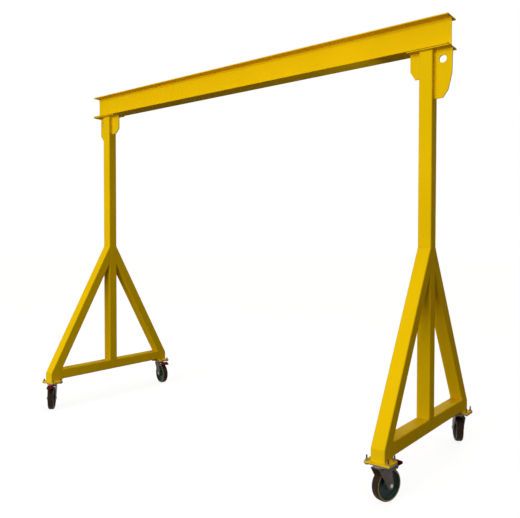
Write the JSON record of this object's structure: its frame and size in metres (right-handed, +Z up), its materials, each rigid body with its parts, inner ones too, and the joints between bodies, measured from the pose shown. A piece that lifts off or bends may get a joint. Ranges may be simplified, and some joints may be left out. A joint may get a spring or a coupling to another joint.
{
  "type": "portable gantry crane",
  "caption": "Portable gantry crane: wide-flange rail beam on two A-frames of square tube, rolling on swivel casters with brake pedals.",
  "frame": {"origin": "on the ground under the middle of the crane", "axes": "+X along the rail beam towards the right end, +Y across the base towards the far side, +Z up"},
  "size_m": [3.542, 1.645, 2.96],
  "materials": {
    "yellow_paint": "semi-gloss",
    "zinc_plate": "satin",
    "dark_zinc": "satin",
    "bright_steel": "bright",
    "green_iron": "painted",
    "brown_tread": "matt",
    "red_paint": "semi-gloss"
  },
  "bodies": {
    "frame": {"beam": "yellow_paint", "left_top_plate": "yellow_paint", "left_post": "yellow_paint", "left_outer_gusset": "yellow_paint", "left_inner_gusset": "yellow_paint", "left_near_leg": "yellow_paint", "left_far_leg": "yellow_paint", "left_base_beam": "yellow_paint", "right_top_plate": "yellow_paint", "right_post": "yellow_paint", "right_outer_gusset": "yellow_paint", "right_inner_gusset": "yellow_paint", "right_near_leg": "yellow_paint", "right_far_leg": "yellow_paint", "right_base_beam": "yellow_paint", "right_near_foot_plate": "yellow_paint", "right_near_caster_plate": "zinc_plate", "right_far_foot_plate": "yellow_paint", "right_far_caster_plate": "zinc_plate", "left_near_foot_plate": "yellow_paint", "left_near_caster_plate": "zinc_plate", "left_far_foot_plate": "yellow_paint", "left_far_caster_plate": "zinc_plate"},
    "right_near_swivel": {"right_near_fork": "dark_zinc", "right_near_axle": "bright_steel"},
    "right_near_wheel": {"right_near_rim": "green_iron", "right_near_tyre": "brown_tread"},
    "right_near_brake": {"right_near_pedal": "red_paint"},
    "right_far_swivel": {"right_far_fork": "dark_zinc", "right_far_axle": "bright_steel"},
    "right_far_wheel": {"right_far_rim": "green_iron", "right_far_tyre": "brown_tread"},
    "right_far_brake": {"right_far_pedal": "red_paint"},
    "left_near_swivel": {"left_near_fork": "dark_zinc", "left_near_axle": "bright_steel"},
    "left_near_wheel": {"left_near_rim": "green_iron", "left_near_tyre": "brown_tread"},
    "left_near_brake": {"left_near_pedal": "red_paint"},
    "left_far_swivel": {"left_far_fork": "dark_zinc", "left_far_axle": "bright_steel"},
    "left_far_wheel": {"left_far_rim": "green_iron", "left_far_tyre": "brown_tread"},
    "left_far_brake": {"left_far_pedal": "red_paint"}
  },
  "joints": [
    {"name": "right_near_swivel_turn", "type": "hinge", "parent": "frame", "child": "right_near_swivel", "pos_m": [1.61, -0.6815, 0.221], "axis": [0, 0, 1], "continuous": true},
    {"name": "right_near_wheel_spin", "type": "hinge", "parent": "right_near_swivel", "child": "right_near_wheel", "pos_m": [1.62483, -0.63585, 0.1], "axis": [-0.9511, 0.309, 0], "continuous": true},
    {"name": "right_near_brake_lift", "type": "hinge", "parent": "right_near_swivel", "child": "right_near_brake", "pos_m": [1.64028, -0.5883, 0.203], "axis": [0.9511, -0.309, 0], "range_deg": [0, 15]},
    {"name": "right_far_swivel_turn", "type": "hinge", "parent": "frame", "child": "right_far_swivel", "pos_m": [1.61, 0.6815, 0.221], "axis": [0, 0, 1], "continuous": true},
    {"name": "right_far_wheel_spin", "type": "hinge", "parent": "right_far_swivel", "child": "right_far_wheel", "pos_m": [1.58673, 0.72348, 0.1], "axis": [-0.8746, -0.4848, 0], "continuous": true},
    {"name": "right_far_brake_lift", "type": "hinge", "parent": "right_far_swivel", "child": "right_far_brake", "pos_m": [1.56249, 0.76721, 0.203], "axis": [0.8746, 0.4848, 0], "range_deg": [0, 15]},
    {"name": "left_near_swivel_turn", "type": "hinge", "parent": "frame", "child": "left_near_swivel", "pos_m": [-1.61, -0.6815, 0.221], "axis": [0, 0, 1], "continuous": true},
    {"name": "left_near_wheel_spin", "type": "hinge", "parent": "left_near_swivel", "child": "left_near_wheel", "pos_m": [-1.57489, -0.71424, 0.1], "axis": [0.682, 0.7314, 0], "continuous": true},
    {"name": "left_near_brake_lift", "type": "hinge", "parent": "left_near_swivel", "child": "left_near_brake", "pos_m": [-1.53833, -0.74834, 0.203], "axis": [-0.682, -0.7314, 0], "range_deg": [0, 15]},
    {"name": "left_far_swivel_turn", "type": "hinge", "parent": "frame", "child": "left_far_swivel", "pos_m": [-1.61, 0.6815, 0.221], "axis": [0, 0, 1], "continuous": true},
    {"name": "left_far_wheel_spin", "type": "hinge", "parent": "left_far_swivel", "child": "left_far_wheel", "pos_m": [-1.56435, 0.66667, 0.1], "axis": [0.309, 0.9511, 0], "continuous": true},
    {"name": "left_far_brake_lift", "type": "hinge", "parent": "left_far_swivel", "child": "left_far_brake", "pos_m": [-1.5168, 0.65122, 0.203], "axis": [-0.309, -0.9511, 0], "range_deg": [0, 15]}
  ]
}
